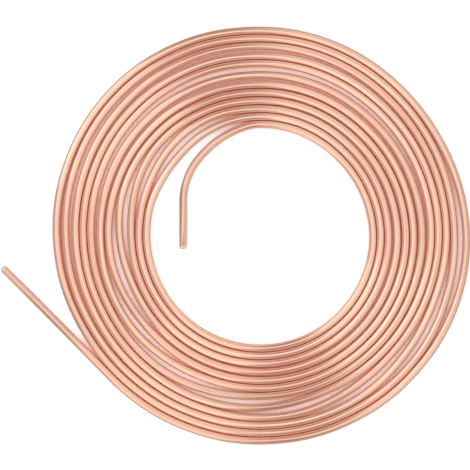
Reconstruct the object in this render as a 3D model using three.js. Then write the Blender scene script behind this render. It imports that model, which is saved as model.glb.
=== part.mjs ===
// A flat coil of soft copper tube, lying on the floor.
//
// One length of round seamless tube is wound in its own plane into an open spiral, each turn laid
// against the one inside it. Its inner end hangs back into the open middle of the coil and its outer
// end leaves the coil straight, and both ends are lifted a little off the floor.
//
// Millimetres, Z up. The tube rests on the floor at Z = 0, and the origin is on the floor under the
// middle of the footprint. Angles are in degrees. "wound" is how far round the coil the tube has come:
// 0 where the inner tail ends, at the coil's far side (+Y), and growing clockwise seen from above.

import * as THREE from 'three';

// ---- Tube ----
const TUBE_OD = 4.76; // outside diameter, 3/16 in
const TUBE_WALL = 0.71; // wall thickness
const OUTSIDE_FACETS = 8;
const BORE_FACETS = 6;

// ---- Coil, measured on the tube's centre line ----
const COIL_START_RADIUS = 72; // where the inner tail ends and the first turn begins
const WOUND_ANGLE = 4185; // eleven turns and five eighths
const STEPS_PER_TURN = 32;
const FIRST_TURN_DRIFT = 3.2; // how far the first turn opens out by itself
const CLIMB_FROM = 314; // the first turn moves out past its own start between these two
const CLIMB_TO = 350;
const HOLLOWS = [
  // where the first turn was pressed in, with every later turn lying against it
  { middle: 50, depth: 0.95, halfLength: 50 },
  { middle: 305, depth: 1, halfLength: 26 },
];

// ---- Gaps between turns ----
const TURN_CLEARANCE = 0.24; // between turns that lie against each other
const SLACK_FIRST = 324; // the tube stands off its neighbour once in a little less than a turn
const SLACK_EVERY = 337.3;
const SLACK_OPENING = 2.5;
const SLACK_HALF_LENGTH = 38;
const LOOSE_PLACES = [
  // gaps that the hand winding left besides
  { middle: 305, opening: 1, halfLength: 28 },
  { middle: 820, opening: 0.8, halfLength: 160 },
  { middle: 1240, opening: 0.5, halfLength: 450 },
  { middle: 1800, opening: 1.2, halfLength: 155 },
  { middle: 2155, opening: 2.4, halfLength: 160 },
  { middle: 2875, opening: 1.3, halfLength: 95 },
  { middle: 3170, opening: 1.6, halfLength: 90 },
  { middle: 3510, opening: 0.9, halfLength: 45 },
  { middle: 3675, opening: 0.8, halfLength: 32 },
];

// ---- Inner tail, from the start of the coil back to the tube's inner end ----
const INNER_TAIL_BENDS = [
  { radius: 32, angle: 17 },
  { radius: 64, angle: 36 },
  { radius: 44, angle: 37 },
];
const INNER_TAIL_FLAT = 2; // straight after the bends, still on the floor
const INNER_TAIL_RISE = 28; // straight in plan, lifting off the floor
const INNER_RISE_RADIUS = 105;

// ---- Outer tail, from the end of the coil to the tube's outer end ----
const OUTER_TAIL_TURN_IN = 0.45; // how far it turns in from square to the radius
const OUTER_TAIL_FLAT = 67.2;
const OUTER_TAIL_RISE = 36;
const OUTER_RISE_RADIUS = 130;
const TAIL_STEP = 21; // longest step along a straight
const RISE_STEP = 12; // longest step along a lifting stretch

const FULL_TURN = 360;
const BEND_STEP = FULL_TURN / STEPS_PER_TURN;
const { degToRad, smoothstep } = THREE.MathUtils;

// One smooth swelling: 1 in its middle, 0 from half its length away.
function swelling(distance, halfLength) {
  const share = Math.min(Math.abs(distance) / halfLength, 1);
  return (1 + Math.cos(Math.PI * share)) / 2;
}

// The gap between the tube here and the turn that lies outside it.
function gapOutside(wound) {
  let gap = TURN_CLEARANCE;
  for (let middle = SLACK_FIRST; middle < WOUND_ANGLE; middle += SLACK_EVERY) {
    gap += SLACK_OPENING * swelling(wound - middle, SLACK_HALF_LENGTH);
  }
  for (const place of LOOSE_PLACES) {
    gap += place.opening * swelling(wound - place.middle, place.halfLength);
  }
  return gap;
}

// The first turn opens out a little, then climbs to lie against its own start.
function firstTurnRadius(wound) {
  const drift = (FIRST_TURN_DRIFT * wound) / FULL_TURN;
  const climb = TUBE_OD + gapOutside(0) - FIRST_TURN_DRIFT;
  let radius = COIL_START_RADIUS + drift + climb * smoothstep(wound, CLIMB_FROM, CLIMB_TO);
  for (const hollow of HOLLOWS) {
    radius -= hollow.depth * swelling(wound - hollow.middle, hollow.halfLength);
  }
  return radius;
}

// Distance of the centre line from the coil's axis. Every later turn lies on the one inside it.
function coilRadius(wound) {
  if (wound < FULL_TURN) {
    return firstTurnRadius(wound);
  }
  const inside = wound - FULL_TURN;
  return coilRadius(inside) + TUBE_OD + gapOutside(inside);
}

function coilPoint(wound) {
  const angle = degToRad(wound);
  const radius = coilRadius(wound);
  return new THREE.Vector3(radius * Math.sin(angle), radius * Math.cos(angle), TUBE_OD / 2);
}

function coilStations() {
  const stations = [];
  for (let wound = 0; wound <= WOUND_ANGLE; wound += BEND_STEP) {
    stations.push(coilPoint(wound));
  }
  return stations;
}

// Lays out a stretch of tube in plan as straights and bends, from a start point and a heading.
class Layout {
  constructor(start, heading) {
    this.stations = [start];
    this.heading = heading;
  }

  straight(length, longestStep) {
    const steps = Math.ceil(length / longestStep);
    for (let step = 0; step < steps; step += 1) {
      this.advance(length / steps);
    }
  }

  // A bend to the left; each step is a chord of its arc.
  bend(radius, angle) {
    const steps = Math.ceil(angle / BEND_STEP);
    const turn = angle / steps;
    for (let step = 0; step < steps; step += 1) {
      this.heading += turn / 2;
      this.advance(2 * radius * Math.sin(degToRad(turn / 2)));
      this.heading += turn / 2;
    }
  }

  advance(distance) {
    const angle = degToRad(this.heading);
    const move = new THREE.Vector3(Math.cos(angle), Math.sin(angle), 0).multiplyScalar(distance);
    this.stations.push(this.stations.at(-1).clone().add(move));
  }
}

// Lifts the last stretch of a tail along a shallow arc that starts level.
function liftEnd(stations, riseLength, riseRadius) {
  const tip = stations.at(-1).clone();
  for (const station of stations) {
    const risen = Math.max(riseLength - station.distanceTo(tip), 0);
    station.z += risen ** 2 / (2 * riseRadius);
  }
}

function innerTail(start) {
  const headingBack = 180;
  const layout = new Layout(start, headingBack);
  for (const bend of INNER_TAIL_BENDS) {
    layout.bend(bend.radius, bend.angle);
  }
  layout.straight(INNER_TAIL_FLAT, TAIL_STEP);
  layout.straight(INNER_TAIL_RISE, RISE_STEP);
  liftEnd(layout.stations, INNER_TAIL_RISE, INNER_RISE_RADIUS);
  return layout.stations;
}

function outerTail(start) {
  const headingOn = -WOUND_ANGLE - OUTER_TAIL_TURN_IN;
  const layout = new Layout(start, headingOn);
  layout.straight(OUTER_TAIL_FLAT, TAIL_STEP);
  layout.straight(OUTER_TAIL_RISE, RISE_STEP);
  liftEnd(layout.stations, OUTER_TAIL_RISE, OUTER_RISE_RADIUS);
  return layout.stations;
}

// The tube's centre line, which reaches one station at each equal share of its length parameter,
// so that the facets of neighbouring turns lie side by side.
class CentreLine extends THREE.CatmullRomCurve3 {
  getUtoTmapping(share) {
    return share;
  }
}

function centreLine() {
  const coil = coilStations();
  const inner = innerTail(coil[0].clone()).slice(1).reverse();
  const outer = outerTail(coil.at(-1).clone()).slice(1);
  return new CentreLine([...inner, ...coil, ...outer]);
}

// A regular ring of corners whose flats are the given distance apart.
function facetedRing(acrossFlats, facets) {
  const halfFacet = Math.PI / facets;
  const cornerRadius = acrossFlats / 2 / Math.cos(halfFacet);
  const corners = [];
  for (let facet = 0; facet < facets; facet += 1) {
    const angle = halfFacet * (2 * facet + 1);
    corners.push(new THREE.Vector2(cornerRadius * Math.cos(angle), cornerRadius * Math.sin(angle)));
  }
  return corners;
}

function tubeSection() {
  const section = new THREE.Shape(facetedRing(TUBE_OD, OUTSIDE_FACETS));
  section.holes.push(new THREE.Path(facetedRing(TUBE_OD - 2 * TUBE_WALL, BORE_FACETS)));
  return section;
}

function copper() {
  return new THREE.MeshStandardMaterial({ color: 0xdc9a78, roughness: 0.3, metalness: 0.95 });
}

function copperTube() {
  const path = centreLine();
  const geometry = new THREE.ExtrudeGeometry(tubeSection(), {
    steps: path.points.length - 1,
    extrudePath: path,
  });
  const tube = new THREE.Mesh(geometry, copper());
  tube.name = 'copper_tube';
  geometry.computeBoundingBox();
  const middle = geometry.boundingBox.getCenter(new THREE.Vector3());
  tube.position.set(-middle.x, -middle.y, 0);
  return tube;
}

const coil = new THREE.Group();
coil.name = 'copper_tube_coil';
coil.add(copperTube());

export default coil;
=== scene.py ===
"""Dresses a flat coil of soft copper tube that lies on a pale floor under soft studio light.

The tube is one long hollow sweep. Its route is worked out here from the same sizes as the solid's:
an inner tail, an open spiral whose turns lie beside each other, and a straight outer tail.
"""

import math

import bpy
import numpy as np
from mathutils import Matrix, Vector


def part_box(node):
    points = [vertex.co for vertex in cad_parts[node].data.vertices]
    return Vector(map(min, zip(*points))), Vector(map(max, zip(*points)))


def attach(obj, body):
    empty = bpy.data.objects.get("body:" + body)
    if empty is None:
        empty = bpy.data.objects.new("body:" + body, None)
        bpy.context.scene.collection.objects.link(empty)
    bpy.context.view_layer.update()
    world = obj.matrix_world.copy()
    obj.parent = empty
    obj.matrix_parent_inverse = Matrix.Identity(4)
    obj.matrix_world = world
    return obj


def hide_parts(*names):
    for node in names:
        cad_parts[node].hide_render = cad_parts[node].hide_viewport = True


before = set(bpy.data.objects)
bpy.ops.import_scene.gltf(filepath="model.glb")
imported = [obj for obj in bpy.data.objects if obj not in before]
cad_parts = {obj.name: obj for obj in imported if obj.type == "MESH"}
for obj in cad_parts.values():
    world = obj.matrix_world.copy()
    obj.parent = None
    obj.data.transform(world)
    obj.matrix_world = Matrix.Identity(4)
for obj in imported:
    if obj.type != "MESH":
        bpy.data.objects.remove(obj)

bl_info = {
    "name": "Copper Tube Coil",
    "version": (1, 0, 0),
    "blender": (4, 5, 0),
    "location": "3D View > Sidebar > Tube Coil",
    "description": "Winds a flat coil of soft copper tube and sets a plain studio around it",
    "category": "Add Mesh",
}

MM = 0.001
DEGREE = math.pi / 180.0
FULL_TURN = 360.0 * DEGREE
CAD_NODE = "copper_tube"
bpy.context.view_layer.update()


# ---- Sizes and colours that a user would change ----


class TubeSizes(bpy.types.PropertyGroup):
    """The tube's section."""

    outside_diameter: bpy.props.FloatProperty(
        name="Outside diameter", description="Across the tube, 3/16 in",
        default=4.76 * MM, min=1 * MM, max=30 * MM, subtype="DISTANCE", unit="LENGTH", precision=5,
    )
    wall: bpy.props.FloatProperty(
        name="Wall", description="Thickness of the tube's wall",
        default=0.71 * MM, min=0.2 * MM, max=3 * MM, subtype="DISTANCE", unit="LENGTH", precision=5,
    )
    sides: bpy.props.IntProperty(
        name="Sides", description="Flats around the outside of the tube", default=36, min=8, max=64,
    )
    bore_sides: bpy.props.IntProperty(
        name="Bore sides", description="Flats around the bore", default=18, min=6, max=64,
    )
    lip: bpy.props.FloatProperty(
        name="Cutter lip", description="How far the cutting wheel rolls the edge of a cut end inward",
        default=0.22 * MM, min=0.0, max=1 * MM, subtype="DISTANCE", unit="LENGTH", precision=5,
    )


class CoilSizes(bpy.types.PropertyGroup):
    """The coil's route, measured on the tube's centre line."""

    start_radius: bpy.props.FloatProperty(
        name="Start radius", description="From the coil's axis to the start of the first turn",
        default=72.0 * MM, min=20 * MM, max=1.0, subtype="DISTANCE", unit="LENGTH",
    )
    wound_angle: bpy.props.FloatProperty(
        name="Wound angle", description="How far round the spiral goes",
        default=4185.0 * DEGREE, min=FULL_TURN, max=20000.0 * DEGREE, subtype="ANGLE", unit="ROTATION",
    )
    steps_per_turn: bpy.props.IntProperty(
        name="Steps a turn", description="Rings of the sweep in one turn", default=144, min=24, max=360,
    )
    first_turn_drift: bpy.props.FloatProperty(
        name="First turn drift", description="How far the first turn opens out by itself",
        default=3.2 * MM, min=0.0, max=20 * MM, subtype="DISTANCE", unit="LENGTH",
    )
    climb_from: bpy.props.FloatProperty(
        name="Climb from", description="Where the first turn starts to move out past its own start",
        default=314.0 * DEGREE, min=180.0 * DEGREE, max=350.0 * DEGREE, subtype="ANGLE", unit="ROTATION",
    )
    climb_to: bpy.props.FloatProperty(
        name="Climb to", description="Where the first turn has moved out past its own start",
        default=350.0 * DEGREE, min=190.0 * DEGREE, max=FULL_TURN, subtype="ANGLE", unit="ROTATION",
    )
    clearance: bpy.props.FloatProperty(
        name="Turn clearance", description="Between turns that lie against each other",
        default=0.24 * MM, min=0.05 * MM, max=5 * MM, subtype="DISTANCE", unit="LENGTH", precision=5,
    )
    slack_first: bpy.props.FloatProperty(
        name="First slack", description="Where the tube first stands off its neighbour",
        default=324.0 * DEGREE, min=0.0, max=2.0 * FULL_TURN, subtype="ANGLE", unit="ROTATION",
    )
    slack_every: bpy.props.FloatProperty(
        name="Slack every", description="Winding between one slack place and the next",
        default=337.3 * DEGREE, min=90.0 * DEGREE, max=2.0 * FULL_TURN, subtype="ANGLE", unit="ROTATION",
    )
    slack_opening: bpy.props.FloatProperty(
        name="Slack opening", description="How wide each slack place opens",
        default=2.5 * MM, min=0.0, max=10 * MM, subtype="DISTANCE", unit="LENGTH",
    )
    slack_half_length: bpy.props.FloatProperty(
        name="Slack half length", description="Half the length of a slack place",
        default=38.0 * DEGREE, min=5.0 * DEGREE, max=180.0 * DEGREE, subtype="ANGLE", unit="ROTATION",
    )


class CopperColours(bpy.types.PropertyGroup):
    """The tones of drawn copper, and the painted light and shade laid on it."""

    bright: bpy.props.FloatVectorProperty(
        name="Bright copper", description="Clean drawn copper",
        default=(0.965, 0.61, 0.45), min=0.0, max=1.0, size=3, subtype="COLOR",
    )
    rosy: bpy.props.FloatVectorProperty(
        name="Rosy copper", description="Slightly handled copper",
        default=(0.945, 0.55, 0.405), min=0.0, max=1.0, size=3, subtype="COLOR",
    )
    tarnish: bpy.props.FloatVectorProperty(
        name="Tarnish", description="Thin brown oxide in faint flecks",
        default=(0.62, 0.33, 0.22), min=0.0, max=1.0, size=3, subtype="COLOR",
    )
    glancing: bpy.props.FloatVectorProperty(
        name="Glancing tint", description="How the copper tints light that only grazes it",
        default=(0.91, 0.3, 0.17), min=0.0, max=1.0, size=3, subtype="COLOR",
    )
    # Painted reflection: a greyer edge tint on the sides that lie open, which darkens their outlines.
    shaded_outline_tint: bpy.props.FloatVectorProperty(
        name="Aired glancing tint", description="The same where the tube's side lies open to the air",
        default=(0.7, 0.56, 0.5), min=0.0, max=1.0, size=3, subtype="COLOR",
    )
    # Painted light: a paler tone on every tube's sides, where light falls on its flanks. It also colours the
    # random pale lines.
    pale_tone_and_lit_sides: bpy.props.FloatVectorProperty(
        name="Rubbed sides", description="Where the turns lay against each other",
        default=(1.0, 0.75, 0.62), min=0.0, max=1.0, size=3, subtype="COLOR",
    )
    # Painted shade: the dark red that falls between two turns, laid on every tube's sides.
    painted_crevice_shade: bpy.props.FloatVectorProperty(
        name="Crevice", description="The tube's flanks where two turns meet",
        default=(1.0, 0.18, 0.05), min=0.0, max=1.0, size=3, subtype="COLOR",
    )
    # Painted shade: a darker tone on the sides that lie open and on stretches that nothing lies against,
    # standing in for a darker reflection there.
    painted_side_shade: bpy.props.FloatVectorProperty(
        name="Aired sides", description="Where the tube's side lies open to the air",
        default=(0.6, 0.36, 0.28), min=0.0, max=1.0, size=3, subtype="COLOR",
    )
    fresh_cut: bpy.props.FloatVectorProperty(
        name="Fresh cut", description="Bare metal on the cut ends",
        default=(0.99, 0.84, 0.74), min=0.0, max=1.0, size=3, subtype="COLOR",
    )
    bore_wall: bpy.props.FloatVectorProperty(
        name="Bore wall", description="The dull inside of the tube",
        default=(0.96, 0.74, 0.64), min=0.0, max=1.0, size=3, subtype="COLOR",
    )


class StageSizes(bpy.types.PropertyGroup):
    """The floor, the camera and the light."""

    camera_height: bpy.props.FloatProperty(
        name="Camera height", description="Of the camera above the floor",
        default=2.0, min=0.4, max=5.0, subtype="DISTANCE", unit="LENGTH",
    )
    camera_left: bpy.props.FloatProperty(
        name="Camera left", description="Of the camera to the left of the coil's axis",
        default=16.9 * MM, min=-1.0, max=1.0, subtype="DISTANCE", unit="LENGTH", precision=5,
    )
    view_width: bpy.props.FloatProperty(
        name="View width", description="Width of floor that the camera takes in",
        default=305.5 * MM, min=0.1, max=2.0, subtype="DISTANCE", unit="LENGTH",
    )
    floor_colour: bpy.props.FloatVectorProperty(
        name="Floor colour", description="The pale table that the coil lies on",
        default=(0.86, 0.85, 0.87), min=0.0, max=1.0, size=3, subtype="COLOR",
    )
    seen_floor: bpy.props.FloatVectorProperty(
        name="Seen floor", description="The table's tone where the camera or the metal sees it",
        default=(1.36, 1.35, 1.37), min=0.0, max=2.0, size=3, subtype="COLOR",
    )
    # Painted light: a brighter tone beside the tube that lifts most of its shadow there.
    shadow_lift_floor: bpy.props.FloatVectorProperty(
        name="Near floor", description="The table's tone close beside the tube",
        default=(1.48, 1.51, 1.54), min=0.0, max=2.0, size=3, subtype="COLOR",
    )
    # Painted light: a copper-coloured glow on the table deep between the turns.
    painted_glow_floor: bpy.props.FloatVectorProperty(
        name="Glowing floor", description="The table's tone deep between two turns of copper",
        default=(1.16, 0.96, 0.8), min=0.0, max=2.0, size=3, subtype="COLOR",
    )
    # Painted shade: dark red on the table where two turns all but meet over it.
    painted_deep_shade_floor: bpy.props.FloatVectorProperty(
        name="Deep floor", description="The table's tone where two turns all but meet over it",
        default=(0.8, 0.28, 0.14), min=0.0, max=2.0, size=3, subtype="COLOR",
    )
    room_level: bpy.props.FloatProperty(
        name="Room light", description="Strength of the even light from all round",
        default=0.58, min=0.0, max=2.0,
    )


# Where the first turn was pressed in: middle and half length in degrees, depth in metres.
HOLLOWS = [
    (50.0, 50.0, 0.95 * MM),
    (305.0, 26.0, 1.0 * MM),
]

# Gaps that the hand winding left besides: middle and half length in degrees, opening in metres.
LOOSE_PLACES = [
    (305.0, 28.0, 1.0 * MM),
    (820.0, 160.0, 0.8 * MM),
    (1240.0, 450.0, 0.5 * MM),
    (1800.0, 155.0, 1.2 * MM),
    (2155.0, 160.0, 2.4 * MM),
    (2875.0, 95.0, 1.3 * MM),
    (3170.0, 90.0, 1.6 * MM),
    (3510.0, 45.0, 0.9 * MM),
    (3675.0, 32.0, 0.8 * MM),
]

# The inner tail's bends, each a radius and an angle, then its straight: level, and then lifting off the
# floor along a shallow arc.
INNER_TAIL_BENDS = [(32.0 * MM, 17.0 * DEGREE), (64.0 * MM, 36.0 * DEGREE), (44.0 * MM, 37.0 * DEGREE)]
INNER_TAIL_FLAT = 2.0 * MM
INNER_TAIL_RISE = 28.0 * MM
INNER_RISE_RADIUS = 105.0 * MM

# The outer tail's straight, level and then lifting off the floor. It leaves a little in from square to
# the radius.
OUTER_TAIL_TURN_IN = 0.45 * DEGREE
OUTER_TAIL_FLAT = 67.2 * MM
OUTER_TAIL_RISE = 36.0 * MM
OUTER_RISE_RADIUS = 130.0 * MM

LONGEST_STRAIGHT_STEP = 3.0 * MM  # between two rings of a straight


# ---- The route of the tube ----


def swelling(distance, half_length):
    """One smooth swelling: 1 in its middle, 0 from half its length away."""
    share = min(abs(distance) / half_length, 1.0)
    return (1.0 + math.cos(math.pi * share)) / 2.0


def gap_outside(coil, wound):
    """The gap between the tube here and the turn that lies outside it."""
    gap = coil.clearance
    middle = coil.slack_first
    while middle < coil.wound_angle:
        gap += coil.slack_opening * swelling(wound - middle, coil.slack_half_length)
        middle += coil.slack_every
    for middle, half_length, opening in LOOSE_PLACES:
        gap += opening * swelling(wound - middle * DEGREE, half_length * DEGREE)
    return gap


def first_turn_radius(tube, coil, wound):
    """The first turn opens out a little, then climbs out past its own start."""
    climb = tube.outside_diameter + gap_outside(coil, 0.0) - coil.first_turn_drift
    share = min(max((wound - coil.climb_from) / (coil.climb_to - coil.climb_from), 0.0), 1.0)
    smooth_share = share * share * (3.0 - 2.0 * share)
    radius = coil.start_radius + coil.first_turn_drift * wound / FULL_TURN + climb * smooth_share
    for middle, half_length, depth in HOLLOWS:
        radius -= depth * swelling(wound - middle * DEGREE, half_length * DEGREE)
    return radius


def coil_points(tube, coil):
    """Plan points of the spiral about the coil's axis. Every later turn lies on the one inside it."""
    step = FULL_TURN / coil.steps_per_turn
    count = int(round(coil.wound_angle / step)) + 1
    radii = []
    points = []
    for index in range(count):
        wound = index * step
        if index < coil.steps_per_turn:
            radius = first_turn_radius(tube, coil, wound)
        else:
            inside = index - coil.steps_per_turn
            radius = radii[inside] + tube.outside_diameter + gap_outside(coil, inside * step)
        radii.append(radius)
        points.append((radius * math.sin(wound), radius * math.cos(wound)))
    return points


class Layout:
    """Lays out a stretch of tube in plan as straights and bends, from a start point and a heading."""

    def __init__(self, start, heading):
        self.points = [start]
        self.heading = heading

    def advance(self, distance):
        """One chord along the heading."""
        x, y = self.points[-1]
        self.points.append((x + distance * math.cos(self.heading), y + distance * math.sin(self.heading)))

    def straight(self, length):
        """A straight, in equal steps."""
        steps = math.ceil(length / LONGEST_STRAIGHT_STEP)
        for _ in range(steps):
            self.advance(length / steps)

    def bend(self, radius, angle, longest_turn):
        """A bend to the left, in chords of its arc."""
        steps = math.ceil(angle / longest_turn)
        turn = angle / steps
        for _ in range(steps):
            self.heading += turn / 2.0
            self.advance(2.0 * radius * math.sin(turn / 2.0))
            self.heading += turn / 2.0


def lifted(points, base_height, rise_length, rise_radius):
    """Gives plan points their height; the last stretch lifts off the floor along a shallow arc."""
    tip = points[-1]
    raised = []
    for x, y in points:
        risen = max(rise_length - math.hypot(x - tip[0], y - tip[1]), 0.0)
        raised.append((x, y, base_height + risen ** 2 / (2.0 * rise_radius)))
    return raised


def centre_line(tube, coil):
    """Stations of the tube's centre line from its inner end to its outer end, about the coil's axis."""
    base_height = tube.outside_diameter / 2.0
    turn_step = FULL_TURN / coil.steps_per_turn
    wound = coil_points(tube, coil)

    inner = Layout(wound[0], FULL_TURN / 2.0)
    for radius, angle in INNER_TAIL_BENDS:
        inner.bend(radius, angle, turn_step)
    inner.straight(INNER_TAIL_FLAT)
    inner.straight(INNER_TAIL_RISE)
    inner_points = lifted(inner.points, base_height, INNER_TAIL_RISE, INNER_RISE_RADIUS)

    outer = Layout(wound[-1], -coil.wound_angle - OUTER_TAIL_TURN_IN)
    outer.straight(OUTER_TAIL_FLAT)
    outer.straight(OUTER_TAIL_RISE)
    outer_points = lifted(outer.points, base_height, OUTER_TAIL_RISE, OUTER_RISE_RADIUS)

    coil_stations = [(x, y, base_height) for x, y in wound]
    return np.array(inner_points[:0:-1] + coil_stations + outer_points[1:])


def with_end_stations(line, distances):
    """Adds close stations near both ends, for the lip that the tube cutter leaves."""
    stretches = []
    for points in (line, line[::-1]):
        start, direction = points[0], points[1] - points[0]
        direction = direction / np.linalg.norm(direction)
        stretches.append([start + direction * distance for distance in distances])
    return np.array(stretches[0] + list(line[1:-1]) + stretches[1][::-1])


def coil_axis(line, tube):
    """Where the coil's axis stands in the frame, so that the route fills the CAD solid's box."""
    _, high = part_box(CAD_NODE)
    half = tube.outside_diameter / 2.0
    coil_right = line[:, 0].max() + half
    coil_far = line[:, 1].max() + half
    return np.array([high.x - coil_right, high.y - coil_far, 0.0])


# ---- The tube ----


UP = np.array([0.0, 0.0, 1.0])
SHARP_EDGE = 40.0 * DEGREE

# The lip that the cutter leaves at each end: places along the tube, and the share of the lip there.
LIP_PLACES = np.array([0.0, 0.08, 0.2, 0.4, 0.8]) * MM
LIP_SHAPE = np.array([1.0, 0.62, 0.3, 0.08, 0.0])
BORE_LIP = 0.5  # the bore closes in by this share of what the outside does
BARE_STATIONS = 4  # how many stations at each end are bare metal

# A neighbour lies beside a station when it is further off sideways than this share of the tube's
# diameter. Between the two gaps a turn's side goes from covered to open to the air.
BESIDE = 0.5
NO_NEIGHBOUR = 1.0  # metres, for a side with nothing beside it
OPEN_GAPS = (1.0 * MM, 5.0 * MM)

# The side that faces the coil's middle gets this share of the painted side shade.
INWARD_SHADE_SHARE = 0.45


def sweep_directions(line):
    """For each station, the two directions of its section: sideways in plan, and up."""
    along = np.gradient(line, axis=0)
    along /= np.linalg.norm(along, axis=1)[:, None]
    side = np.cross(UP, along)
    side /= np.linalg.norm(side, axis=1)[:, None]
    up = np.cross(along, side)
    return side, up


def swept_rings(line, radii, sides):
    """Rings of vertices around the line, and the same rings in the space of the straight tube."""
    side, up = sweep_directions(line)
    angles = np.arange(sides) * (FULL_TURN / sides)
    sideways = radii[:, None] * np.cos(angles)
    upward = radii[:, None] * np.sin(angles)
    rings = line[:, None, :] + sideways[:, :, None] * side[:, None, :] + upward[:, :, None] * up[:, None, :]
    steps = np.linalg.norm(np.diff(line, axis=0), axis=1)
    length = np.concatenate([[0.0], np.cumsum(steps)])
    straight = np.stack([sideways, upward, np.repeat(length[:, None], sides, axis=1)], axis=2)
    return rings, straight


def open_sides(line, tube):
    """How open each station lies to its left and to its right: 0 against a neighbour, 1 in the open."""
    side, _ = sweep_directions(line)
    along = np.cross(side, UP)
    away = line[None, :, :2] - line[:, None, :2]
    sideways = np.einsum("ijk,ik->ij", away, side[:, :2])
    lengthwise = np.abs(np.einsum("ijk,ik->ij", away, along[:, :2]))
    sides = []
    for direction in (1.0, -1.0):
        beside = direction * sideways > BESIDE * tube.outside_diameter
        beside &= lengthwise < tube.outside_diameter
        gap = np.where(beside, np.abs(sideways), NO_NEIGHBOUR).min(axis=1) - tube.outside_diameter
        sides.append(np.clip((gap - OPEN_GAPS[0]) / (OPEN_GAPS[1] - OPEN_GAPS[0]), 0.0, 1.0))
    return sides


def tube_skin_faces(first, stations, sides, inward):
    """Quads between neighbouring rings, facing out of the wall."""
    station = np.arange(stations - 1)[:, None]
    side = np.arange(sides)[None, :]
    after = (side + 1) % sides
    a = first + station * sides + side
    b = first + station * sides + after
    c = first + (station + 1) * sides + after
    d = first + (station + 1) * sides + side
    corners = (a, d, c, b) if inward else (a, b, c, d)
    return np.stack([corner.ravel() for corner in corners], axis=1).tolist()


def end_wall_faces(outside_ring, bore_ring, sides, bore_sides, flip):
    """The cut face between the outside ring and the bore ring, which has fewer corners."""
    ratio = sides // bore_sides
    faces = []
    for corner in range(bore_sides):
        bore_here = bore_ring + corner
        bore_next = bore_ring + (corner + 1) % bore_sides
        outside = [outside_ring + (corner * ratio + k) % sides for k in range(ratio + 1)]
        face = outside + [bore_next, bore_here]
        faces.append(face[::-1] if flip else face)
    return faces


class WindTube(bpy.types.Operator):
    """Winds the hollow copper tube along its route and gives it its finish"""

    bl_idname = "tube_coil.wind_tube"
    bl_label = "Wind Copper Tube"

    def execute(self, context):
        scene = context.scene
        tube = scene.tube_sizes
        if tube.sides % tube.bore_sides:
            raise ValueError("Sides has to be a multiple of Bore sides")
        line = centre_line(tube, scene.coil_sizes)
        line = with_end_stations(line + coil_axis(line, tube), LIP_PLACES)

        mesh = bpy.data.meshes.new("copper_tube_skin")
        straight = self.sweep(mesh, tube, line)
        self.mark_open_sides(mesh, tube, line, straight)
        self.mark_bare_ends(mesh, tube, len(line))
        mesh.shade_smooth()
        mesh.set_sharp_from_angle(angle=SHARP_EDGE)
        mesh.validate()

        skin = bpy.data.objects.new("copper_tube_skin", mesh)
        scene.collection.objects.link(skin)
        mesh.materials.append(drawn_copper(scene.copper_colours, tube.outside_diameter / 2.0))
        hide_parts(CAD_NODE)
        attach(skin, "root")
        return {"FINISHED"}

    def sweep(self, mesh, tube, line):
        """Fills the mesh with the hollow tube, and gives its outside's points in the straight tube."""
        rolled_in = np.zeros(len(line))
        rolled_in[:len(LIP_SHAPE)] = tube.lip * LIP_SHAPE
        rolled_in[-len(LIP_SHAPE):] = tube.lip * LIP_SHAPE[::-1]
        radius = tube.outside_diameter / 2.0
        outside, outside_straight = swept_rings(line, radius - rolled_in, tube.sides)
        bore, bore_straight = swept_rings(line, radius - tube.wall - BORE_LIP * rolled_in, tube.bore_sides)

        stations = len(line)
        bore_first = stations * tube.sides
        last_outside = (stations - 1) * tube.sides
        last_bore = bore_first + (stations - 1) * tube.bore_sides
        faces = tube_skin_faces(0, stations, tube.sides, inward=True)
        outside_faces = len(faces)
        faces += tube_skin_faces(bore_first, stations, tube.bore_sides, inward=False)
        skin_faces = len(faces)
        faces += end_wall_faces(0, bore_first, tube.sides, tube.bore_sides, flip=True)
        faces += end_wall_faces(last_outside, last_bore, tube.sides, tube.bore_sides, flip=False)
        vertices = np.concatenate([outside.reshape(-1, 3), bore.reshape(-1, 3)])
        mesh.from_pydata(vertices.tolist(), [], faces)

        straight = np.concatenate([outside_straight.reshape(-1, 3), bore_straight.reshape(-1, 3)])
        tube_space = mesh.attributes.new("tube_space", "FLOAT_VECTOR", "POINT")
        tube_space.data.foreach_set("vector", straight.astype(np.float32).ravel())
        face_order = np.arange(len(faces))
        self.mark(mesh, "cut_face", "FACE", face_order >= skin_faces)
        self.mark(mesh, "bore_wall", "FACE", (face_order >= outside_faces) & (face_order < skin_faces))
        return outside_straight

    def mark_open_sides(self, mesh, tube, line, straight):
        """Marks the sides that lie open, and the stretches that nothing lies against, for the shade that the
        material paints on them.
        """
        left, right = [side[:, None] for side in open_sides(line, tube)]
        outward = straight[:, :, 0] > 0.0
        # Painted shade on sides that lie open; the inward side gets less of it.
        painted_side_shade = np.where(outward, left, INWARD_SHADE_SHARE * right)
        # Painted shade on both sides of stretches that nothing lies against, such as the tails.
        loose = np.where(outward, 1.0, INWARD_SHADE_SHARE) * np.minimum(left, right)
        bore_points = np.zeros(len(line) * tube.bore_sides)
        self.mark(mesh, "side_shade_mask", "POINT", np.concatenate([painted_side_shade.ravel(), bore_points]))
        self.mark(mesh, "loose_tube", "POINT", np.concatenate([loose.ravel(), bore_points]))

    def mark_bare_ends(self, mesh, tube, stations):
        """Marks both ends, where the cutter left bare metal."""
        bare = np.zeros(stations)
        bare[:BARE_STATIONS] = 1.0
        bare[-BARE_STATIONS:] = 1.0
        bare = np.concatenate([np.repeat(bare, tube.sides), np.repeat(bare, tube.bore_sides)])
        self.mark(mesh, "bare_end", "POINT", bare)

    @staticmethod
    def mark(mesh, name, domain, values):
        """Stores one number on each point or face, which the material reads."""
        layer = mesh.attributes.new(name, "FLOAT", domain)
        layer.data.foreach_set("value", values.astype(np.float32))


# ---- Materials ----


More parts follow.
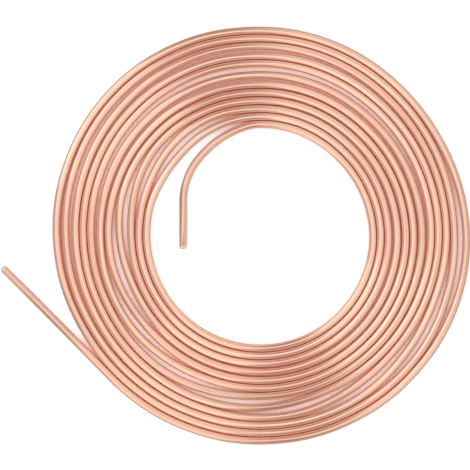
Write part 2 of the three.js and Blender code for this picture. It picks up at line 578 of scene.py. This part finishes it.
COLOUR_RESULT = 2  # the Mix node's outputs are a number, a vector and a colour


class Signal:
    """A shader socket that can be used in sums. Arithmetic on it adds Math nodes."""

    def __init__(self, sheet, socket):
        self.sheet = sheet
        self.socket = socket

    def _math(self, operation, first, second):
        return self.sheet.node("ShaderNodeMath", {"operation": operation}, {0: first, 1: second})

    def __add__(self, other):
        return self._math("ADD", self, other)

    def __radd__(self, other):
        return self._math("ADD", other, self)

    def __sub__(self, other):
        return self._math("SUBTRACT", self, other)

    def __rsub__(self, other):
        return self._math("SUBTRACT", other, self)

    def __mul__(self, other):
        return self._math("MULTIPLY", self, other)

    def __rmul__(self, other):
        return self._math("MULTIPLY", other, self)


class ShaderSheet:
    """The node sheet of a material or a world, with one method that adds any node."""

    def __init__(self, owner):
        owner.use_nodes = True
        self.tree = owner.node_tree
        self.tree.nodes.clear()

    def node(self, kind, settings=None, inputs=None, output=0):
        """Adds a node: first its settings, then the values or links of its sockets."""
        made = self.tree.nodes.new(kind)
        for name, value in (settings or {}).items():
            setattr(made, name, value)
        sockets = {socket.identifier: socket for socket in made.inputs}
        for name, value in (inputs or {}).items():
            socket = sockets[name] if name in sockets else made.inputs[name]
            if isinstance(value, Signal):
                self.tree.links.new(value.socket, socket)
            else:
                socket.default_value = value
        return Signal(self, made.outputs[output]) if made.outputs else made

    def attribute(self, name, output):
        """What the mesh stores under a name."""
        return self.node("ShaderNodeAttribute", {"attribute_name": name}, output=output)

    def grain(self, space, across, along, detail, roughness):
        """Noise in the space of the straight tube, with one scale across it and one along it."""
        settings = {"operation": "MULTIPLY"}
        scale = (across, across, along)
        stretched = self.node("ShaderNodeVectorMath", settings, {0: space, 1: scale}, output="Vector")
        inputs = {"Vector": stretched, "Scale": 1.0, "Detail": detail, "Roughness": roughness}
        return self.node("ShaderNodeTexNoise", {}, inputs, output="Fac")

    def step(self, value, low, high, most=1.0):
        """0 up to low, the most from high on, and smooth between them."""
        settings = {"interpolation_type": "SMOOTHSTEP"}
        inputs = {"Value": value, "From Min": low, "From Max": high, "To Min": 0.0, "To Max": most}
        return self.node("ShaderNodeMapRange", settings, inputs, output="Result")

    def mix(self, share, first, second):
        """A colour between two colours."""
        settings = {"data_type": "RGBA", "blend_type": "MIX"}
        inputs = {"Factor_Float": share, "A_Color": first, "B_Color": second}
        return self.node("ShaderNodeMix", settings, inputs, output=COLOUR_RESULT)

    def bump(self, height, strength, distance, under=None):
        """Bumps the surface by a height, on top of another bump where one is given."""
        inputs = {"Height": height, "Strength": strength, "Distance": distance}
        if under is not None:
            inputs["Normal"] = under
        return self.node("ShaderNodeBump", {}, inputs, output="Normal")

    def ray_kind(self, name):
        """1 for rays of this kind, and 0 for the rest."""
        return self.node("ShaderNodeLightPath", output=name)

    def background(self, colour, strength):
        """Light that comes from far off."""
        return self.node("ShaderNodeBackground", {}, {"Color": colour, "Strength": strength})


def opaque(colour):
    """The colour with its alpha full."""
    return (*colour, 1.0)


# The grain of the copper: each a scale across the tube and one along it, per metre, its detail and its
# roughness.
LONG_TONES = (150.0, 9.0, 3.0, 0.55)
DRAWN_LINES = (5200.0, 22.0, 2.0, 0.6)
HANDLING = (700.0, 240.0, 4.0, 0.6)
TONE_LINES = (1900.0, 5.0, 1.0, 0.5)
# This grain only varies how deep the painted crevice shade is.
CREVICE_TONES = (60.0, 2.6, 2.0, 0.5)
STREAKS = (700.0, 7.0, 2.0, 0.5)

# Where a mark starts and is full in its grain, and how strong it gets if that isn't 1.
ROSY = (0.36, 0.66)
FLECKS = (0.66, 0.78, 0.35)
PALE_LINES = (0.5, 0.66, 0.6)
DARK_LINES = (0.48, 0.34, 0.25)
# How deep the painted crevice shade gets, at random along the tube.
DEEP_CREVICE = (0.38, 0.62, 0.45)
SHALLOW_CREVICE = 0.55  # how strong the painted crevice shade is without its deeper tones

# The same round the tube, by the square of how far off its crown a spot lies: 0 at the crown and 1 at
# its sides.
# The first two paint a paler, lit band on the flanks and the next three paint shade; the last two set
# roughness.
LIT_SIDE_BAND = (0.3, 0.6, 0.8)
LIT_SIDE_BAND_END = (0.7, 0.95)
CREVICE_SHADE_BAND = (0.72, 1.0)
SIDE_SHADE_FLANK = (0.18, 0.6)
LOOSE_TUBE_SHADE = (0.0, 0.07, 0.9)
ROUGH_FLANK = (0.28, 0.8, 0.75)
SMOOTHER_SIDE = (0.82, 0.96, 0.65)

# How open a side is where its outline starts to take the painted darker edge tint, and where that is done.
OUTLINE_SHADE_OPENING = (0.01, 0.15)

# How rough the crown is, and what each mark adds to that.
CROWN_ROUGHNESS = 0.09
TONE_ROUGHNESS = 0.06
FLECK_ROUGHNESS = 0.3
CUT_ROUGHNESS = 0.12
BORE_ROUGHNESS = 0.7

STREAK_STRENGTH = 1.0
STREAK_DEPTH = 0.3 * MM
SCRATCH_STRENGTH = 0.12
SCRATCH_DEPTH = 0.02 * MM
DRAWN_SHARE = 0.7  # of the scratches; handling makes the rest


def drawn_copper(colours, radius):
    """Bright drawn copper: fine lines along the tube and tarnish flecks, with painted light and shade: paler
    lit sides, darker sides and outlines where a side lies open, and red shade in the crevices.
    """
    material = bpy.data.materials.new("drawn_copper")
    sheet = ShaderSheet(material)
    space = sheet.attribute("tube_space", "Vector")
    cut = sheet.attribute("cut_face", "Fac")
    bare = sheet.attribute("bare_end", "Fac")
    bore = sheet.attribute("bore_wall", "Fac")
    # How open each side lies, which places the painted side shade and the darker outline tint.
    side_shade_mask = sheet.attribute("side_shade_mask", "Fac")
    # Stretches that nothing lies against, for their painted side shade.
    loose_tube = sheet.attribute("loose_tube", "Fac")
    across = sheet.node("ShaderNodeSeparateXYZ", {}, {"Vector": space}, output="X")
    off_crown = across * across * (1.0 / radius ** 2)

    long_tones = sheet.grain(space, *LONG_TONES)
    drawn_lines = sheet.grain(space, *DRAWN_LINES)
    handling = sheet.grain(space, *HANDLING)
    tone_lines = sheet.grain(space, *TONE_LINES)
    crevice_tones = sheet.grain(space, *CREVICE_TONES)
    streaks = sheet.grain(space, *STREAKS)

    flecks = sheet.step(handling, *FLECKS)
    # Painted light: a paler band round every tube's sides.
    pale_tone_and_lit_sides = sheet.step(off_crown, *LIT_SIDE_BAND) * (1.0 - sheet.step(off_crown, *LIT_SIDE_BAND_END))
    depth = SHALLOW_CREVICE + sheet.step(crevice_tones, *DEEP_CREVICE)
    base = sheet.mix(sheet.step(long_tones, *ROSY), opaque(colours.bright), opaque(colours.rosy))
    coats = [
        (flecks, colours.tarnish),
        (sheet.step(tone_lines, *PALE_LINES), colours.pale_tone_and_lit_sides),
        (sheet.step(tone_lines, *DARK_LINES), colours.tarnish),
        # Painted light on the sides.
        (pale_tone_and_lit_sides, colours.pale_tone_and_lit_sides),
        # Painted shade: deep red at the very sides, where turns meet.
        (sheet.step(off_crown, *CREVICE_SHADE_BAND) * depth, colours.painted_crevice_shade),
        # Painted shade: darker sides where they lie open, and on loose stretches.
        (sheet.step(off_crown, *SIDE_SHADE_FLANK) * side_shade_mask, colours.painted_side_shade),
        (sheet.step(off_crown, *LOOSE_TUBE_SHADE) * loose_tube, colours.painted_side_shade),
        (bore, colours.bore_wall),
        (bare, colours.fresh_cut),
        (cut, colours.fresh_cut),
    ]
    for share, colour in coats:
        base = sheet.mix(share, base, opaque(colour))

    flank = sheet.step(off_crown, *ROUGH_FLANK) * (1.0 - sheet.step(off_crown, *SMOOTHER_SIDE))
    marks = (long_tones + drawn_lines) * TONE_ROUGHNESS + flecks * FLECK_ROUGHNESS
    roughness = CROWN_ROUGHNESS + marks + flank + cut * CUT_ROUGHNESS + bore * BORE_ROUGHNESS
    streaky = sheet.bump(streaks, STREAK_STRENGTH, STREAK_DEPTH)
    scratches = drawn_lines * DRAWN_SHARE + handling * (1.0 - DRAWN_SHARE)
    surface = sheet.bump(scratches, SCRATCH_STRENGTH, SCRATCH_DEPTH, under=streaky)

    # The second copper has the greyer edge tint: a painted darker reflection on the outlines of open sides.
    covered, shaded_outline = [
        sheet.node("ShaderNodeBsdfPrincipled", {}, {
            "Base Color": base, "Metallic": 1.0, "Roughness": roughness, "Normal": surface,
            "Specular Tint": opaque(tint),
        }, output="BSDF")
        for tint in (colours.glancing, colours.shaded_outline_tint)
    ]
    outline_shade = sheet.step(side_shade_mask, *OUTLINE_SHADE_OPENING)
    finish = sheet.node("ShaderNodeMixShader", {}, {0: outline_shade, 1: covered, 2: shaded_outline}, output="Shader")
    sheet.node("ShaderNodeOutputMaterial", {}, {"Surface": finish})
    return material


# How far the table looks for copper around it, which places its painted light, glow and shade, and how
# finely that is felt out.
GLOW_REACH = 5.0 * MM
GLOW_SAMPLES = 8

# How much open sky a spot of table has where each of its painted tones starts and is full. The near tone,
# painted light that lifts the tube's shadow, comes and goes; the glow and the deep tone are painted copper
# light and shade.
NEAR_COMES = (0.5, 0.66)
NEAR_GOES = (1.0, 0.9)
GLOW_COMES = (0.64, 0.1)
DEEP_COMES = (0.16, 0.06)


def pale_floor(stage):
    """A matt pale table. What the camera, metal and glass see is a cleaner white that keeps its shadows,
    except close beside the tube, where a painted lighter tone lifts most of them.

    Deep between the turns the table's tone is painted with the copper's glow, and where two turns all but
    meet over it, with dark red shade.
    """
    material = bpy.data.materials.new("pale_floor")
    sheet = ShaderSheet(material)
    seen = sheet.ray_kind("Is Camera Ray") + sheet.ray_kind("Is Glossy Ray")
    seen = seen + sheet.ray_kind("Is Transmission Ray")
    reach = {"Distance": GLOW_REACH}
    open_sky = sheet.node("ShaderNodeAmbientOcclusion", {"samples": GLOW_SAMPLES}, reach, output="AO")
    # Painted light beside the tube, which lifts most of its shadow.
    shadow_lift = sheet.step(open_sky, *NEAR_COMES) * sheet.step(open_sky, *NEAR_GOES)
    seen_tone = sheet.mix(shadow_lift, opaque(stage.seen_floor), opaque(stage.shadow_lift_floor))
    # Painted copper glow deep between the turns.
    seen_tone = sheet.mix(sheet.step(open_sky, *GLOW_COMES), seen_tone, opaque(stage.painted_glow_floor))
    # Painted dark red shade where two turns all but meet.
    seen_tone = sheet.mix(sheet.step(open_sky, *DEEP_COMES), seen_tone, opaque(stage.painted_deep_shade_floor))
    tone = sheet.mix(seen, opaque(stage.floor_colour), seen_tone)
    matt = sheet.node("ShaderNodeBsdfDiffuse", {}, {"Color": tone}, output="BSDF")
    sheet.node("ShaderNodeOutputMaterial", {}, {"Surface": matt})
    return material


# ---- The stage ----

FLOOR_HALF = 6.0  # metres from its middle to its edges

# Softboxes above and to the left of the coil: where each hangs, its level side and its upright one, all
# in metres, and how bright it looks. Each faces the coil, and the overhead one has its second side
# along X.
SOFTBOXES = [
    ("overhead_softbox", (-0.14, 0.03, 1.06), (0.82, 1.36), 0.48),
    ("left_far_softbox", (-1.53, 1.11, 1.1), (1.5, 2.54), 0.72),
    ("left_near_softbox", (-0.56, -1.15, 0.87), (0.9, 1.9), 0.64),
]

# The tent of pale cloth around them has a brighter right side, and two slits across from each other.
# Each is given in degrees: its middle round from +X, how far it reaches to both sides and how soft its
# edge is, and where it starts and is full, down from straight up.
RIGHT_SIDE = {"middle": 13.0, "half_width": 74.0, "softness": 17.0, "starts": (0.0, 42.0)}
RIGHT_SIDE_LEVEL = 0.32  # on top of the tent's own
SLITS = {"middle": 102.0, "half_width": 11.0, "softness": 7.0, "starts": (10.0, 40.0), "paired": True}
SLITS_SHADE = 0.2
CLOTH_COLOUR = (1.0, 1.0, 1.0)
SLIT_COLOUR = (1.0, 0.78, 0.74)  # warm wood shows through them


def tent_part(sheet, middle, half_width, softness, starts, paired=False):
    """How much of one part of the tent, or of a pair of them, there is in each direction."""
    direction = sheet.node("ShaderNodeTexCoord", output="Generated")
    x, y, z = [sheet.node("ShaderNodeSeparateXYZ", {}, {"Vector": direction}, name) for name in "XYZ"]
    level_length = sheet.node("ShaderNodeMath", {"operation": "SQRT"}, {0: x * x + y * y})
    towards = x * math.cos(middle * DEGREE) + y * math.sin(middle * DEGREE)
    facing = sheet.node("ShaderNodeMath", {"operation": "DIVIDE"}, {0: towards, 1: level_length})
    folds = 1.0
    if paired:  # the cosine of twice the angle is the same across from here
        facing = 2.0 * facing * facing - 1.0
        folds = 2.0
    edges = [math.cos(folds * (half_width + side * softness) * DEGREE) for side in (1.0, -1.0)]
    lean = [1.0 - math.cos(start * DEGREE) for start in starts]
    return sheet.step(facing, *edges) * sheet.step(1.0 - z, *lean)


def tent_light(sheet, room_level):
    """The tent's colour and how bright it is, in each direction."""
    right = tent_part(sheet, **RIGHT_SIDE)
    slits = tent_part(sheet, **SLITS)
    level = (room_level + right * RIGHT_SIDE_LEVEL) * (1.0 - slits * SLITS_SHADE)
    colour = sheet.mix(slits, opaque(CLOTH_COLOUR), opaque(SLIT_COLOUR))
    return colour, level


def look_rotation(direction):
    """Turns something that faces down its own -Z to face along a direction."""
    return Vector(direction).to_track_quat("-Z", "Y").to_euler()


class SetStage(bpy.types.Operator):
    """Adds the floor, the softboxes, the even room light and the camera above the coil"""

    bl_idname = "tube_coil.set_stage"
    bl_label = "Set Stage"

    def execute(self, context):
        scene = context.scene
        stage = scene.stage_sizes
        self.add_floor(scene, stage)
        for name, place, size, level in SOFTBOXES:
            self.add_softbox(scene, name, place, size, level)
        self.light_room(scene, stage)
        self.add_camera(scene, stage)
        scene.view_settings.view_transform = "Standard"
        return {"FINISHED"}

    @staticmethod
    def add_floor(scene, stage):
        """Lays the table under the coil."""
        mesh = bpy.data.meshes.new("pale_floor")
        corners = [(x * FLOOR_HALF, y * FLOOR_HALF, 0.0) for x, y in ((-1, -1), (1, -1), (1, 1), (-1, 1))]
        mesh.from_pydata(corners, [], [(0, 1, 2, 3)])
        mesh.materials.append(pale_floor(stage))
        floor = bpy.data.objects.new("pale_floor", mesh)
        scene.collection.objects.link(floor)

    @staticmethod
    def add_softbox(scene, name, place, size, level):
        """Hangs one softbox, with the watts that make it look as bright as its level."""
        lamp = bpy.data.lights.new(name, "AREA")
        lamp.shape = "RECTANGLE"
        lamp.size, lamp.size_y = size
        lamp.energy = level * math.pi * size[0] * size[1]
        softbox = bpy.data.objects.new(name, lamp)
        softbox.location = place
        softbox.rotation_euler = look_rotation(-Vector(place))
        softbox.visible_camera = False
        scene.collection.objects.link(softbox)

    @staticmethod
    def light_room(scene, stage):
        """Puts the tent of pale cloth around everything."""
        world = bpy.data.worlds.new("light_tent")
        sheet = ShaderSheet(world)
        colour, level = tent_light(sheet, stage.room_level)
        light = sheet.background(colour, level)
        sheet.node("ShaderNodeOutputWorld", {}, {"Surface": light})
        scene.world = world

    @staticmethod
    def add_camera(scene, stage):
        """Hangs the camera over the coil, with the lens that takes in the view width."""
        data = bpy.data.cameras.new("overhead_camera")
        tube = scene.tube_sizes
        above_tube = stage.camera_height - tube.outside_diameter / 2.0
        data.lens = data.sensor_width * above_tube / stage.view_width
        camera = bpy.data.objects.new("overhead_camera", data)
        axis_x, axis_y, _ = coil_axis(centre_line(tube, scene.coil_sizes), tube)
        camera.location = (axis_x - stage.camera_left, axis_y, stage.camera_height)
        scene.collection.objects.link(camera)
        scene.camera = camera


class CoilPanel(bpy.types.Panel):
    """Sizes, colours and steps of the tube coil"""

    bl_idname = "VIEW3D_PT_tube_coil"
    bl_label = "Tube Coil"
    bl_space_type = "VIEW_3D"
    bl_region_type = "UI"
    bl_category = "Tube Coil"

    def draw(self, context):
        scene = context.scene
        for group in (scene.tube_sizes, scene.coil_sizes, scene.copper_colours, scene.stage_sizes):
            box = self.layout.box()
            for name in group.__annotations__:
                box.prop(group, name)
        self.layout.operator(WindTube.bl_idname)
        self.layout.operator(SetStage.bl_idname)


GROUPS = {
    "tube_sizes": TubeSizes,
    "coil_sizes": CoilSizes,
    "copper_colours": CopperColours,
    "stage_sizes": StageSizes,
}
CLASSES = [*GROUPS.values(), WindTube, SetStage, CoilPanel]


def register():
    for cls in CLASSES:
        bpy.utils.register_class(cls)
    for name, group in GROUPS.items():
        setattr(bpy.types.Scene, name, bpy.props.PointerProperty(type=group))


def unregister():
    for name in GROUPS:
        delattr(bpy.types.Scene, name)
    for cls in reversed(CLASSES):
        bpy.utils.unregister_class(cls)


def main():
    register()
    bpy.ops.tube_coil.wind_tube()
    bpy.ops.tube_coil.set_stage()


if __name__ == "__main__":
    main()
